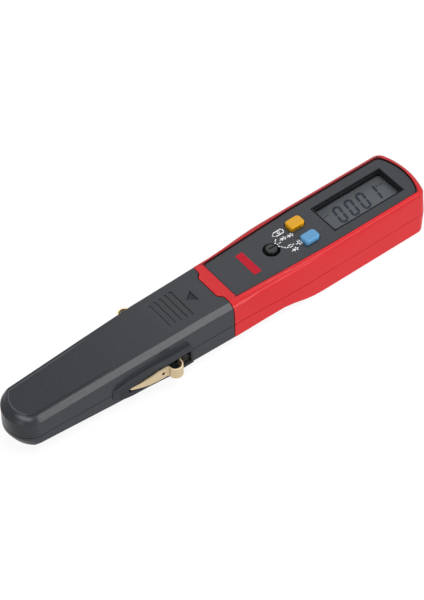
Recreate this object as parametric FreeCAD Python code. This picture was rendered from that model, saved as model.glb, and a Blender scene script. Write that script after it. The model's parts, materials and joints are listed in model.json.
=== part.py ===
"""Pen-shaped component tester: a case with a display, and a slide-off cap over test tweezers.

Frame, in millimetres: +X runs from the cap's tip to the display end, +Y to the side of the
first button, +Z up out of the control panel. The origin is below the middle of the whole
tester, in the plane that the display section rests on.
"""
import FreeCAD, Part
import math
import os

V = FreeCAD.Vector

# Overall
TIP_X = -87.5
END_X = 87.5
TOP_Z = 20.6
PARTING_Z = 9.6
BODY_GAP = 0.3

# Cap: one row for each loft section, as x, half width, top and underside
CAP_SECTIONS = [
    (-92.0, 8.75, 17.9, 5.2),
    (-79.5, 9.3, 18.5, 4.8),
    (-50.5, 10.3, 19.7, 3.05),
    (-28.5, 11.1, 20.4, 2.4),
    (-12.0, 11.3, TOP_Z, 2.0),
    (3.0, 11.7, TOP_Z, 2.0),
]
CAP_WALL = 1.6
CAP_BEVEL = (1.4, 2.4)
CAP_LOW_BEVEL = 1.2
# The rounded tip's radius in plan, and where its centre lies at each height, as z and x
TIP_R = 10.1
TIP_CENTRES = [(22.0, -70.4), (15.8, -77.2), (8.0, -77.4), (2.0, -74.4)]
TIP_FACETS = 24
INNER_FACETS = 10

# Case: waist in front, full depth under the display
CASE_WALL = 1.8
CASE_TOP_WALL = 2.6
WAIST_BOTTOM_Z = 2.0
WAIST_END_X = 20.5
FULL_WIDTH_X = 30.0
FULL_DEPTH_X = 37.5
WAIST_STATIONS = [5.0, 12.0, WAIST_END_X, 25.0, FULL_WIDTH_X, 33.5, FULL_DEPTH_X]
WAIST_HALF_W = 11.6
# Hollow for a finger along the waist's underside
ARCH_X = (5.0, 33.0)
ARCH_DEPTH = 1.1
FULL_HALF_W = 12.85
CASE_LOW_BEVEL = 1.2
INNER_BEVEL = 1.6
END_ARC_R = 29.0
END_CORNER_R = 4.0
END_FACETS = 8
CORNER_FACETS = 5
# Slope of the end wall, away from the parting plane
END_DRAFT = 0.075
# The case's upper rim: a bevel, and a second bevel along both its edges
RIM_BEVEL = 1.0
RIM_EASE = 0.4

# Groove along the line where upper and lower shells meet
SEAM_DEPTH = 0.2
SEAM_H = 0.25

# Joint line between cap and case
JOIN_TOP_X = -1.7
JOIN_SIDE_X = -0.9
JOIN_SIDE_Z = 15.0
TONGUE_X = -3.4
TONGUE_HALF_W = 4.7
TONGUE_ROOT_HALF_W = 7.8

# Control panel
PANEL_START_X = 1.8
PANEL_END_X = 84.8
PANEL_WIDE_X = 41.5
PANEL_END_R = 22.0
PANEL_START_HALF_W = 9.4
PANEL_HALF_W = 11.0
PANEL_TOP_Z = 20.2
PANEL_BOTTOM_Z = 19.1
PANEL_CORNER_R = 1.6
PANEL_END_CORNER_R = 3.2
PANEL_GAP = 0.15
PANEL_EDGE_BEVEL = 0.3

# Display
WINDOW_X = (48.0, 79.0)
WINDOW_HALF_W = 6.6
WINDOW_CORNER_R = 1.2
FRAME_RIM = 1.4
LENS_Z = (16.5, 16.9)
GLASS_Z = (13.4, 16.5)

# Buttons
BUTTON_X = 38.4
BUTTON_Y = 4.2
BUTTON_SIZE = (6.3, 4.4)
BUTTON_R = 1.3
BUTTON_TOP_Z = 21.9
BUTTON_FOOT_Z = 13.6

# Knob
KNOB_X = 24.7
KNOB_R = 2.15
KNOB_WELL_R = 3.2
KNOB_COLLAR_R = 4.0
KNOB_COLLAR_Z = 17.8
KNOB_TOP_Z = 21.2

# Board
BOARD_X = (17.0, 83.0)
BOARD_HALF_W = 10.2
BOARD_Z = (10.0, 11.6)

# Battery
CELL_X = 58.0
CELL_R = 10.0
CELL_Z = (1.6, 4.8)
COVER_X = (44.5, 77.5)
COVER_HALF_W = 11.0
COVER_Z = (0.15, 1.35)
COVER_SCREW_X = 74.3

# Case screw
CASE_SCREW_X = 12.5
BOSS_R = 2.5

# Hoods over the side terminals: one row for each section, as x, ridge y and z, outer face y,
# its upper edge and its lower edge
GUARD_SECTIONS = [
    (-51.6, 10.3, 11.4, 10.55, 10.6, 7.4),
    (-49.5, 11.2, 12.4, 11.75, 11.1, 6.4),
    (-45.0, 11.6, 13.5, 12.3, 11.6, 6.1),
    (-38.5, 11.9, 14.1, 12.65, 12.2, 6.1),
    (-29.5, 12.4, 14.2, 13.5, 12.6, 6.1),
    (-20.0, 12.2, 13.9, 13.5, 12.6, 6.1),
]
GUARD_ROOT_Y = 10.0
# Slot in the hood, in side view as x and z: narrow at its front end
SLOT_OUTLINE = [(-46.2, 8.2), (-46.2, 9.9), (-34.0, 12.4), (-20.9, 12.4), (-20.9, 7.2), (-36.0, 7.0)]
SLOT_FLOOR_Y = 11.4
SLOT_MOUTH_Y = 15.0
SLOT_INNER_Y = 7.0
SLOT_THROUGH_X = -31.5

# Side terminals
STRIP_T = 0.5
STRIP_Z = (7.7, 12.2)
STRIP_ROOT_Y = SLOT_FLOOR_Y + STRIP_T / 2 + 0.02
LOOP_X = -28.25
LOOP_Y = 14.5
LOOP_R = 2.4
STRIP_ROOT_X = -21.1
STRIP_BEND_R = 1.3
STRIP_SMALL_R = 0.75
ARM_START_Y = 13.65
ARM_BOW_L = 13.3
ARM_BOW_DEG = 17.0
HOOK_R = 1.2
# Where the strip's upper and lower edges start to taper, and their slopes
TAPER_TOP = (-34.5, 0.25)
TAPER_BOTTOM = (-38.5, 0.13)
FOOT_Y = 9.0
LEAD_HOLE_X = -32.9
LEAD_HOLE_Z = 9.95
LEAD_HOLE_R = 0.65
STRIP_SCREW_X = -22.7
STRIP_SCREW_Z = 9.6

# Thumb grip and arrow on the cap
RIB_X = -23.8
RIB_PITCH = 2.3
RIB_COUNT = 5
RIB_HALF_L = 6.5
RIB_W = 1.0
RIB_DEPTH = 0.5
ARROW_BASE_X = -8.9
ARROW_APEX_X = -12.4
ARROW_HALF_W = 2.6

# Tweezers and the neck that holds them
NECK_X = (-14.0, 8.0)
NECK_FIT = 0.35
ARM_T = 0.9
ARM_Z = 11.5
ARM_H = 7.0
ARM_ROOT_X = 3.0
ARM_ROOT_Y = 5.6
ARM_TIP_X = -81.0
ARM_TIP_Y = 2.6
ARM_TIP_H = 1.8
ARM_SLOT_CLEAR = 0.6
GRIP_X = (-54.0, -28.0)
GRIP_Y = 8.05


def box(x0, x1, y0, y1, z0, z1):
    return Part.makeBox(x1 - x0, y1 - y0, z1 - z0, V(x0, y0, z0))


def cylinder(radius, x, y, z0, z1):
    return Part.makeCylinder(radius, z1 - z0, V(x, y, z0))


def square_post(half, x, z0, z1):
    return box(x - half, x + half, -half, half, z0, z1)


def fuse(first, *others):
    return first.multiFuse(list(others)).removeSplitter()


def mirrored_y(shape):
    return shape.mirror(V(0, 0, 0), V(0, 1, 0))


def section_points(x, half_w, top, bottom, run, drop, low_r):
    """Eight corners of a cross-section at x, from the upper right one down and round."""
    right = [V(x, half_w - run, top), V(x, half_w, top - drop),
             V(x, half_w, bottom + low_r), V(x, half_w - low_r, bottom)]
    left = [V(p.x, -p.y, p.z) for p in right]
    return right + left[::-1]


def flat_faces(a, b, c, d):
    """The four-cornered face a b c d, or two triangles where its corners aren't in one plane."""
    twist = (b - a).cross(d - a).dot(c - a)
    if abs(twist) < 1e-6:
        return [Part.Face(Part.makePolygon([a, b, c, d, a]))]
    return [Part.Face(Part.makePolygon([a, b, c, a])), Part.Face(Part.makePolygon([a, c, d, a]))]


def straight_form(rings):
    """Solid with flat faces through a row of cross-sections that have the same corners."""
    faces = [Part.Face(Part.makePolygon(ring + ring[:1])) for ring in (rings[0], rings[-1])]
    for near, far in zip(rings, rings[1:]):
        for i in range(len(near)):
            j = (i + 1) % len(near)
            faces += flat_faces(near[i], near[j], far[j], far[i])
    solid = Part.Solid(Part.Shell(faces))
    return solid if solid.Volume > 0 else solid.reversed()


def rounded_plate(x0, x1, half_w, radius, z0, z1):
    """Upright block with rounded corners in plan."""
    plate = box(x0, x1, -half_w, half_w, z0, z1)
    corners = [e for e in plate.Edges if abs(e.tangentAt(e.FirstParameter).z) > 0.99]
    return plate.makeFillet(radius, corners)


def cap_form(inset=0.0):
    """The cap's solid form, drawn inwards by inset on every side."""
    run, drop = CAP_BEVEL
    low_r = CAP_LOW_BEVEL - inset / 2
    body = straight_form([section_points(x, half_w - inset, top - inset, bottom + inset, run, drop, low_r)
                          for x, half_w, top, bottom in CAP_SECTIONS])
    rest = box(TIP_X + TIP_R, 10.0, -20, 20, 0, 25)
    count = INNER_FACETS if inset > 1 else TIP_FACETS
    angles = [math.pi / 2 + math.pi * i / count for i in range(count + 1)]
    rings = []
    for z, x in TIP_CENTRES:
        rings.append([V(x + (TIP_R - inset) * math.cos(a), (TIP_R - inset) * math.sin(a), z) for a in angles])
    return body.common(rest.fuse(straight_form(rings)))


def cap_side_of_joint(gap=0.0):
    """Everything on the cap's side of the line where cap and case meet, grown by gap."""
    top_x = JOIN_TOP_X + gap
    side_x = JOIN_SIDE_X + gap
    low = -5.0
    high = 25.0
    far = -100.0
    start = V(top_x, -20, TOP_Z)
    end = V(side_x, -20, JOIN_SIDE_Z)
    bend = V(side_x - 0.35, -20, (TOP_Z + JOIN_SIDE_Z) / 2 + 0.4)
    outline = Part.Wire([
        Part.makeLine(V(far, -20, high), V(top_x, -20, high)),
        Part.makeLine(V(top_x, -20, high), start),
        Part.Arc(start, bend, end).toShape(),
        Part.makeLine(end, V(side_x, -20, low)),
        Part.makeLine(V(side_x, -20, low), V(far, -20, low)),
        Part.makeLine(V(far, -20, low), V(far, -20, high)),
    ])
    region = Part.Face(outline).extrude(V(0, 40, 0))
    return region.cut(tongue(gap))


def tongue(gap):
    """Low, wide tongue of the case that reaches into the cap's top, with S-shaped ends."""
    tip_x = TONGUE_X + gap
    root_x = JOIN_TOP_X + gap
    z = TOP_Z - CAP_WALL
    half = TONGUE_HALF_W - gap
    root = TONGUE_ROOT_HALF_W - gap
    reach = root_x - tip_x
    spread = root - half
    arc_r = (reach ** 2 + spread ** 2) / (4 * reach)
    turn = math.atan2(reach, spread)
    dx = arc_r * (1 - math.cos(turn))
    dy = arc_r * math.sin(turn)

    def s_end(side):
        middle = V((tip_x + root_x) / 2, side * (half + root) / 2, z)
        outer = Part.Arc(V(root_x, side * root, z), V(root_x - dx, side * (root - dy), z), middle)
        inner = Part.Arc(middle, V(tip_x + dx, side * (half + dy), z), V(tip_x, side * half, z))
        return [outer.toShape(), inner.toShape()]

    back_x = root_x + 6
    outline = Part.Wire(Part.__sortEdges__(s_end(1) + s_end(-1) + [
        Part.makeLine(V(tip_x, half, z), V(tip_x, -half, z)),
        Part.makeLine(V(root_x, -root, z), V(back_x, -root, z)),
        Part.makeLine(V(back_x, -root, z), V(back_x, root, z)),
        Part.makeLine(V(back_x, root, z), V(root_x, root, z)),
    ]))
    return Part.Face(outline).extrude(V(0, 0, 10))


def guard():
    """Hood that grows out of the cap's +Y wall: a ledge, a sloped face and an upright face."""
    rings = []
    for x, ridge_y, ridge_z, face_y, face_top, face_low in GUARD_SECTIONS:
        rings.append([V(x, GUARD_ROOT_Y, ridge_z), V(x, ridge_y, ridge_z), V(x, face_y, face_top),
                      V(x, face_y, face_low), V(x, GUARD_ROOT_Y, face_low)])
    return straight_form(rings)


def slot_block(y0):
    """The slot's side outline as a block, from the plane at y0 out past the hood's face."""
    corners = [V(x, y0, z) for x, z in SLOT_OUTLINE]
    return Part.Face(Part.makePolygon(corners + corners[:1])).extrude(V(0, SLOT_MOUTH_Y - y0, 0))


def guard_slot():
    """Tapered pocket for the side terminal, open through the wall in front for its inner foot."""
    pocket = slot_block(SLOT_FLOOR_Y)
    deep = slot_block(SLOT_INNER_Y).common(box(-50, SLOT_THROUGH_X, 0, 20, 0, 20))
    screw_hole = Part.makeCylinder(0.9, 6, V(STRIP_SCREW_X, 7.5, STRIP_SCREW_Z), V(0, 1, 0))
    return fuse(pocket, deep, screw_hole)


def cap_shell():
    """Hollow cap with both guards, before it is parted into halves."""
    outer = cap_form()
    guards = fuse(outer, guard(), mirrored_y(guard()))
    shell = guards.cut(cap_form(CAP_WALL))
    shell = shell.cut(guard_slot()).cut(mirrored_y(guard_slot()))
    return shell.common(cap_side_of_joint())


def thumb_ribs():
    """Cutters for the thumb grip's grooves, each a little longer than the last."""
    grooves = []
    for i in range(RIB_COUNT):
        x = RIB_X + i * RIB_PITCH
        half = RIB_HALF_L - 0.5 + 0.12 * i
        grooves.append(box(x - RIB_W / 2, x + RIB_W / 2, -half, half, TOP_Z - RIB_DEPTH, TOP_Z + 1))
    return grooves


def arrow():
    """Cutter for the sunk arrow that points the way the cap slides."""
    z = TOP_Z - 0.4
    base_r = V(ARROW_BASE_X, ARROW_HALF_W, z)
    base_l = V(ARROW_BASE_X, -ARROW_HALF_W, z)
    apex = V(ARROW_APEX_X, 0, z)
    return Part.Face(Part.makePolygon([base_r, base_l, apex, base_r])).extrude(V(0, 0, 2))


def seam(form, core):
    """Cutter for the groove under the parting plane, between a form and the same form drawn in."""
    band = form.common(box(-100, 100, -20, 20, PARTING_Z - SEAM_H, PARTING_Z + 1))
    return band.cut(core)


def cap_halves():
    shell = cap_shell()
    upper = shell.common(box(-100, 20, -20, 20, PARTING_Z, 30))
    for cutter in thumb_ribs() + [arrow()]:
        upper = upper.cut(cutter)
    lower = shell.common(box(-100, 20, -20, 20, -5, PARTING_Z))
    return upper, lower.cut(seam(cap_form(), cap_form(SEAM_DEPTH)))


def tangent_arc(start, heading, turn, radius):
    """Arc in plan that leaves start along heading and turns by an angle; returns the edge and its end."""
    side = 1 if turn > 0 else -1
    centre = start + V(-math.sin(heading), math.cos(heading), 0) * (side * radius)

    def at(angle):
        a = heading + angle - side * math.pi / 2
        return centre + V(math.cos(a), math.sin(a), 0) * radius

    return Part.Arc(start, at(turn / 2), at(turn)).toShape(), at(turn)


def strip_path():
    """Centre line of the side terminal in plan: root plate, outward loop, bowed arm and inner foot."""
    z = (STRIP_Z[0] + STRIP_Z[1]) / 2
    west = math.pi
    quarter = math.pi / 2
    edges = []
    rear = LOOP_X + LOOP_R
    front = LOOP_X - LOOP_R
    root_end = V(rear + STRIP_BEND_R, STRIP_ROOT_Y, z)
    edges.append(Part.makeLine(V(STRIP_ROOT_X, STRIP_ROOT_Y, z), root_end))
    bend, rise = tangent_arc(root_end, west, -quarter, STRIP_BEND_R)
    loop_in = V(rear, LOOP_Y, z)
    edges += [bend, Part.makeLine(rise, loop_in)]
    loop, loop_out = tangent_arc(loop_in, quarter, math.pi, LOOP_R)
    edges.append(loop)
    drop = V(front, ARM_START_Y + STRIP_SMALL_R, z)
    bend, arm_start = tangent_arc(drop, -quarter, -quarter, STRIP_SMALL_R)
    edges += [Part.makeLine(loop_out, drop), bend]
    arm_turn = math.radians(ARM_BOW_DEG)
    bow_r = ARM_BOW_L / math.sin(arm_turn)
    bow, bow_end = tangent_arc(arm_start, west, arm_turn, bow_r)
    hook, hook_end = tangent_arc(bow_end, west + arm_turn, quarter - arm_turn, HOOK_R)
    edges += [bow, hook, Part.makeLine(hook_end, V(hook_end.x, FOOT_Y, z))]
    return Part.Wire(edges)


def terminal():
    """Bent brass strip on the cap's +Y side, forked round its screw, with a hole for a lead."""
    path = strip_path()
    start = path.OrderedVertexes[0].Point
    half_t = STRIP_T / 2
    profile = Part.makePolygon([
        V(start.x, start.y - half_t, STRIP_Z[0]), V(start.x, start.y + half_t, STRIP_Z[0]),
        V(start.x, start.y + half_t, STRIP_Z[1]), V(start.x, start.y - half_t, STRIP_Z[1]),
        V(start.x, start.y - half_t, STRIP_Z[0])])
    strip = path.makePipeShell([profile], True, False)
    for x, slope, z, outside in (TAPER_TOP + (STRIP_Z[1], 20), TAPER_BOTTOM + (STRIP_Z[0], 0)):
        side = 1 if outside > z else -1
        strip = strip.cut(Part.Face(Part.makePolygon([
            V(x + 8, 0, z + side * slope * 8), V(x - 20, 0, z - side * slope * 20), V(x - 20, 0, outside),
            V(x + 8, 0, outside), V(x + 8, 0, z + side * slope * 8)])).extrude(V(0, 20, 0)))
    strip = strip.cut(box(STRIP_SCREW_X - 0.95, 0, 11, 12.4, STRIP_SCREW_Z - 0.95, STRIP_SCREW_Z + 0.95))
    return strip.cut(Part.makeCylinder(LEAD_HOLE_R, 3, V(LEAD_HOLE_X, 12.5, LEAD_HOLE_Z), V(0, 1, 0)))


def terminal_screw():
    """Pan-head screw that holds the strip's root plate to the cap's wall."""
    seat_y = STRIP_ROOT_Y + STRIP_T / 2
    axis = V(0, 1, 0)
    head = Part.makeCylinder(1.4, 0.9, V(STRIP_SCREW_X, seat_y, STRIP_SCREW_Z), axis)
    shank = Part.makeCylinder(0.88, 2.0, V(STRIP_SCREW_X, seat_y - 1.9, STRIP_SCREW_Z), axis)
    slot = box(STRIP_SCREW_X - 2, STRIP_SCREW_X + 2, seat_y + 0.55, seat_y + 2,
               STRIP_SCREW_Z - 0.2, STRIP_SCREW_Z + 0.2)
    return fuse(head, shank).cut(slot)


def case_station(x):
    """Half width, underside and share of the full width gained at x along the waist."""
    reach = min(max((x - JOIN_TOP_X) / (FULL_WIDTH_X - JOIN_TOP_X), 0.0), 1.0)
    widen = (1 - math.cos(reach * math.pi)) / 2
    half_w = WAIST_HALF_W + (FULL_HALF_W - WAIST_HALF_W) * widen
    deepen = min(max((x - WAIST_END_X) / (FULL_DEPTH_X - WAIST_END_X), 0.0), 1.0)
    bottom = WAIST_BOTTOM_Z * (1 + math.cos(deepen * math.pi)) / 2
    along = min(max((x - ARCH_X[0]) / (ARCH_X[1] - ARCH_X[0]), 0.0), 1.0)
    bottom += ARCH_DEPTH * math.sin(math.pi * along) ** 2
    return half_w, bottom, widen


def rim_points(widen):
    """The upper rim's profile, as distances in from the side and down from the top."""
    run, drop = CAP_BEVEL
    ease = RIM_EASE / math.sqrt(2)
    full = [(RIM_BEVEL + RIM_EASE, 0.0), (RIM_BEVEL - ease, ease), (ease, RIM_BEVEL - ease),
            (0.0, RIM_BEVEL + RIM_EASE)]
    points = []
    for i, (inward, down) in enumerate(full):
        share = i / 3
        points.append((run * (1 - share) * (1 - widen) + inward * widen,
                       drop * share * (1 - widen) + down * widen))
    return points


def waist_section(x):
    """Outer cross-section of the waist, whose upper rim turns from the cap's bevel to the case's."""
    half_w, bottom, widen = case_station(x)
    right = [V(x, half_w - inward, TOP_Z - down) for inward, down in rim_points(widen)]
    right += [V(x, half_w, bottom + CASE_LOW_BEVEL), V(x, half_w - CASE_LOW_BEVEL, bottom)]
    return right + [V(p.x, -p.y, p.z) for p in right[::-1]]


def case_form(start_x):
    """The case's solid form: a waist joined to the straight display section."""
    waist = straight_form([waist_section(x) for x in [start_x] + WAIST_STATIONS])
    return waist.fuse(display_block(0, 0))


def case_hollow(start_x, side_inset, top_inset):
    """The space inside the case, with plain bevelled edges."""
    rings = []
    for x in [start_x] + WAIST_STATIONS:
        half_w, bottom, _ = case_station(x)
        rings.append(section_points(x, half_w - side_inset, TOP_Z - top_inset, bottom + side_inset,
                                    INNER_BEVEL, INNER_BEVEL, CASE_LOW_BEVEL))
    return straight_form(rings).fuse(display_block(side_inset, top_inset))


def end_outline(z, inset):
    """The display section's plan at height z: straight sides, rounded corners and an arched end."""
    end_x = END_X - END_DRAFT * abs(z - PARTING_Z)
    corner_y = FULL_HALF_W - END_CORNER_R
    span = END_ARC_R - END_CORNER_R
    middle_x = end_x - END_ARC_R
    corner_x = middle_x + math.sqrt(span ** 2 - corner_y ** 2)
    meet = math.asin(corner_y / span)
    points = [V(FULL_DEPTH_X, FULL_HALF_W - inset, z)]
    for i in range(CORNER_FACETS):
        a = math.pi / 2 - (math.pi / 2 - meet) * i / CORNER_FACETS
        radius = END_CORNER_R - inset
        points.append(V(corner_x + radius * math.cos(a), corner_y + radius * math.sin(a), z))
    for i in range(END_FACETS // 2):
        a = meet * (1 - 2 * i / END_FACETS)
        radius = END_ARC_R - inset
        points.append(V(middle_x + radius * math.cos(a), radius * math.sin(a), z))
    return points + [V(end_x - inset, 0, z)] + [V(p.x, -p.y, z) for p in points[::-1]]


def display_block(side_inset, top_inset):
    """Straight display section, from its lower bevel up to its rim."""
    top = TOP_Z - top_inset
    levels = [(side_inset, CASE_LOW_BEVEL), (side_inset + CASE_LOW_BEVEL, 0.0), (PARTING_Z, 0.0)]
    if side_inset > 0:
        levels += [(top - INNER_BEVEL, 0.0), (top, INNER_BEVEL)]
    else:
        levels += [(top - down, inward) for inward, down in rim_points(1.0)[::-1]]
    return straight_form([end_outline(z, side_inset + inward) for z, inward in levels])


def case_shell():
    outer = case_form(-6.0)
    hollow = case_hollow(-7.0, CASE_WALL, CASE_TOP_WALL)
    below_tongue = box(-7.0, JOIN_TOP_X + BODY_GAP, -20, 20, 0, TOP_Z - CAP_WALL)
    return outer.cut(hollow).cut(below_tongue).cut(cap_side_of_joint(BODY_GAP))


def panel_form(inset, z0, z1):
    """The control panel's outline as a block: tapered front, parallel rear, arched end."""
    x0 = PANEL_START_X + inset
    x1 = PANEL_END_X - inset
    w0 = PANEL_START_HALF_W - inset
    w1 = PANEL_HALF_W - inset
    radius = PANEL_END_R - inset
    corner_x = x1 - radius + math.sqrt(radius ** 2 - w1 ** 2)
    outline = Part.Wire([
        Part.makeLine(V(x0, -w0, z0), V(PANEL_WIDE_X, -w1, z0)),
        Part.makeLine(V(PANEL_WIDE_X, -w1, z0), V(corner_x, -w1, z0)),
        Part.Arc(V(corner_x, -w1, z0), V(x1, 0, z0), V(corner_x, w1, z0)).toShape(),
        Part.makeLine(V(corner_x, w1, z0), V(PANEL_WIDE_X, w1, z0)),
        Part.makeLine(V(PANEL_WIDE_X, w1, z0), V(x0, w0, z0)),
        Part.makeLine(V(x0, w0, z0), V(x0, -w0, z0)),
    ])
    block = Part.Face(outline).extrude(V(0, 0, z1 - z0))
    uprights = [e for e in block.Edges if e.BoundBox.ZLength > (z1 - z0) * 0.9]
    block = block.makeFillet(PANEL_CORNER_R - inset * 0.4, [e for e in uprights if e.BoundBox.XMax < x0 + 0.1])
    uprights = [e for e in block.Edges if e.BoundBox.ZLength > (z1 - z0) * 0.9]
    return block.makeFillet(PANEL_END_CORNER_R - inset, [e for e in uprights if e.BoundBox.XMin > 60])


def window_block(z0, z1):
    return rounded_plate(WINDOW_X[0], WINDOW_X[1], WINDOW_HALF_W, WINDOW_CORNER_R, z0, z1)


def window_recess(grow, z0, z1):
    """Square-cornered seat under the panel that takes the display's frame and lens."""
    rim = FRAME_RIM + grow
    half_w = WINDOW_HALF_W + rim
    return box(WINDOW_X[0] - rim, WINDOW_X[1] + rim, -half_w, half_w, z0, z1)


def button_block(y, grow, z0, z1):
    """Upright block with a button's plan, grown on every side."""
    half_x = BUTTON_SIZE[0] / 2 + grow
    plate = rounded_plate(BUTTON_X - half_x, BUTTON_X + half_x, BUTTON_SIZE[1] / 2 + grow,
                          BUTTON_R + grow / 2, z0, z1)
    return moved(plate, 0, y, 0)


def moved(shape, x, y, z):
    copy = shape.copy()
    copy.translate(V(x, y, z))
    return copy


def control_panel():
    panel = panel_form(PANEL_GAP, PANEL_BOTTOM_Z, PANEL_TOP_Z)
    panel = panel.makeChamfer(PANEL_EDGE_BEVEL, [e for e in panel.Edges if e.BoundBox.ZMin > PANEL_TOP_Z - 0.1])
    panel = panel.cut(window_block(PANEL_BOTTOM_Z - 1, PANEL_TOP_Z + 1))
    panel = panel.fuse(cylinder(KNOB_COLLAR_R, KNOB_X, 0, KNOB_COLLAR_Z, PANEL_BOTTOM_Z))
    panel = panel.cut(cylinder(KNOB_WELL_R, KNOB_X, 0, KNOB_COLLAR_Z - 1, PANEL_TOP_Z + 1))
    for y in (BUTTON_Y, -BUTTON_Y):
        panel = panel.cut(button_block(y, BODY_GAP, PANEL_BOTTOM_Z - 1, PANEL_TOP_Z + 1))
    return panel


def upper_case(shell):
    half = shell.common(box(-20, 100, -20, 20, PARTING_Z, 30))
    half = half.fuse(square_post(BOSS_R, CASE_SCREW_X, PARTING_Z, TOP_Z - CASE_TOP_WALL + 0.3))
    half = half.cut(cylinder(0.85, CASE_SCREW_X, 0, PARTING_Z - 1, PARTING_Z + 5.5))
    half = half.cut(panel_form(0, PANEL_BOTTOM_Z, TOP_Z + 2))
    half = half.cut(window_recess(0.05, 15, 22))
    half = half.cut(cylinder(KNOB_COLLAR_R + 0.05, KNOB_X, 0, 15, 22))
    for y in (BUTTON_Y, -BUTTON_Y):
        half = half.cut(button_block(y, BODY_GAP, 15, 22))
    return half


def lower_case(shell):
    half = shell.common(box(-20, 100, -20, 20, -5, PARTING_Z))
    floor_z = CASE_WALL - 0.3
    posts = []
    for x, y in ((31.0, 8.6), (80.0, 6.5)):
        for sign in (1, -1):
            posts.append(box(x - 2.0, x + 2.0, sign * y - 0.6, sign * y + 0.6, floor_z, BOARD_Z[0]))
            posts.append(box(x - 0.6, x + 0.6, sign * y - 1.8, sign * y + 1.8, floor_z, BOARD_Z[0]))
    half = half.fuse(posts[0])
    for post in posts[1:]:
        half = half.fuse(post)
    half = half.fuse(square_post(BOSS_R, CASE_SCREW_X, WAIST_BOTTOM_Z + 1, PARTING_Z))
    half = half.cut(cylinder(1.05, CASE_SCREW_X, 0, 0, PARTING_Z + 1))
    half = half.cut(cylinder(2.0, CASE_SCREW_X, 0, 0, WAIST_BOTTOM_Z + 2.2))
    half = half.fuse(square_post(2.2, COVER_SCREW_X, COVER_Z[1], 6.0))
    half = half.cut(rounded_plate(COVER_X[0], COVER_X[1], COVER_HALF_W, 2.0, -1, COVER_Z[1]))
    half = half.cut(box(46.6, 69.8, -10.2, 10.2, -1, CASE_WALL + 2))
    half = half.cut(cylinder(0.85, COVER_SCREW_X, 0, 0, 5.2))
    return half.cut(seam(case_form(-6.0), case_hollow(-7.0, SEAM_DEPTH, SEAM_DEPTH)))


def battery_cover():
    """Flush plate on the underside, held by one screw, with a finger notch at its other end."""
    cover = rounded_plate(COVER_X[0] + 0.1, COVER_X[1] - 0.1, COVER_HALF_W - 0.1, 1.9, COVER_Z[0], COVER_Z[1])
    notch = cylinder(4.0, COVER_X[0] - 1.6, 0, -1, COVER_Z[0] + 0.6)
    sink = cylinder(1.95, COVER_SCREW_X, 0, -1, COVER_Z[0] + 0.75)
    shank = cylinder(1.1, COVER_SCREW_X, 0, -1, 3)
    return cover.cut(notch).cut(sink).cut(shank)


def cover_screw():
    """Flat-headed screw through the cover into its post."""
    head = cylinder(1.85, COVER_SCREW_X, 0, COVER_Z[0] + 0.05, COVER_Z[0] + 0.75)
    shank = cylinder(0.84, COVER_SCREW_X, 0, COVER_Z[0] + 0.5, 4.6)
    cross = [box(COVER_SCREW_X - 1.0, COVER_SCREW_X + 1.0, -0.18, 0.18, 0, 0.55),
             box(COVER_SCREW_X - 0.18, COVER_SCREW_X + 0.18, -1.0, 1.0, 0, 0.55)]
    return fuse(head, shank).cut(cross[0]).cut(cross[1])


def case_screw():
    """Pan-head screw sunk in the waist's underside."""
    seat = WAIST_BOTTOM_Z + 2.2
    head = cylinder(1.8, CASE_SCREW_X, 0, seat - 1.2, seat)
    shank = cylinder(0.84, CASE_SCREW_X, 0, seat - 0.2, PARTING_Z + 5.0)
    cross = [box(CASE_SCREW_X - 1, CASE_SCREW_X + 1, -0.2, 0.2, seat - 2, seat - 0.7),
             box(CASE_SCREW_X - 0.2, CASE_SCREW_X + 0.2, -1, 1, seat - 2, seat - 0.7)]
    return fuse(head, shank).cut(cross[0]).cut(cross[1])


def display_frame():
    """Dark well between the panel and the lens."""
    ring = window_recess(0, LENS_Z[1], PANEL_BOTTOM_Z)
    return ring.cut(window_block(LENS_Z[1] - 1, PANEL_BOTTOM_Z + 1))


def display_lens():
    return window_recess(0, LENS_Z[0], LENS_Z[1])


def display_glass():
    x0, x1 = WINDOW_X
    lower = box(x0 - 1.6, x1 + 1.6, -8.4, 8.4, GLASS_Z[0], GLASS_Z[0] + 1.3)
    upper = box(x0 - 1.6, x1 + 1.6, -7.2, 7.2, GLASS_Z[0] + 1.3, GLASS_Z[1])
    return fuse(lower, upper)


def contact_strips():
    """Two rubber strips that join the glass to the board."""
    strips = []
    for y in (7.4, -7.4):
        strips.append(box(WINDOW_X[0] + 1, WINDOW_X[1] - 1, y - 0.9, y + 0.9, BOARD_Z[1], GLASS_Z[0]))
    return Part.makeCompound(strips)


def circuit_board():
    x0, x1 = BOARD_X
    return rounded_plate(x0, x1, BOARD_HALF_W, 2.5, BOARD_Z[0], BOARD_Z[1])


def main_chip():
    """Flat square chip with legs on two sides, under the board."""
    top = BOARD_Z[0]
    body = box(34.0, 43.0, -3.8, 3.8, top - 1.8, top - 0.2)
    legs = []
    for i in range(8):
        x = 34.8 + i * 1.05
        legs.append(box(x, x + 0.4, -5.0, 5.0, top - 0.9, top))
    return fuse(body, *legs)


def buzzer():
    return cylinder(4.5, KNOB_X, 0, BOARD_Z[0] - 3.6, BOARD_Z[0])


def rotary_switch():
    """Range switch on the board, with a blind socket for the knob's spindle."""
    base = box(KNOB_X - 5.0, KNOB_X + 5.0, -5.0, 5.0, BOARD_Z[1], 14.4)
    collar = square_post(2.4, KNOB_X, 14.4, 15.4)
    return fuse(base, collar).cut(cylinder(1.5, KNOB_X, 0, 12.6, 16))


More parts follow.
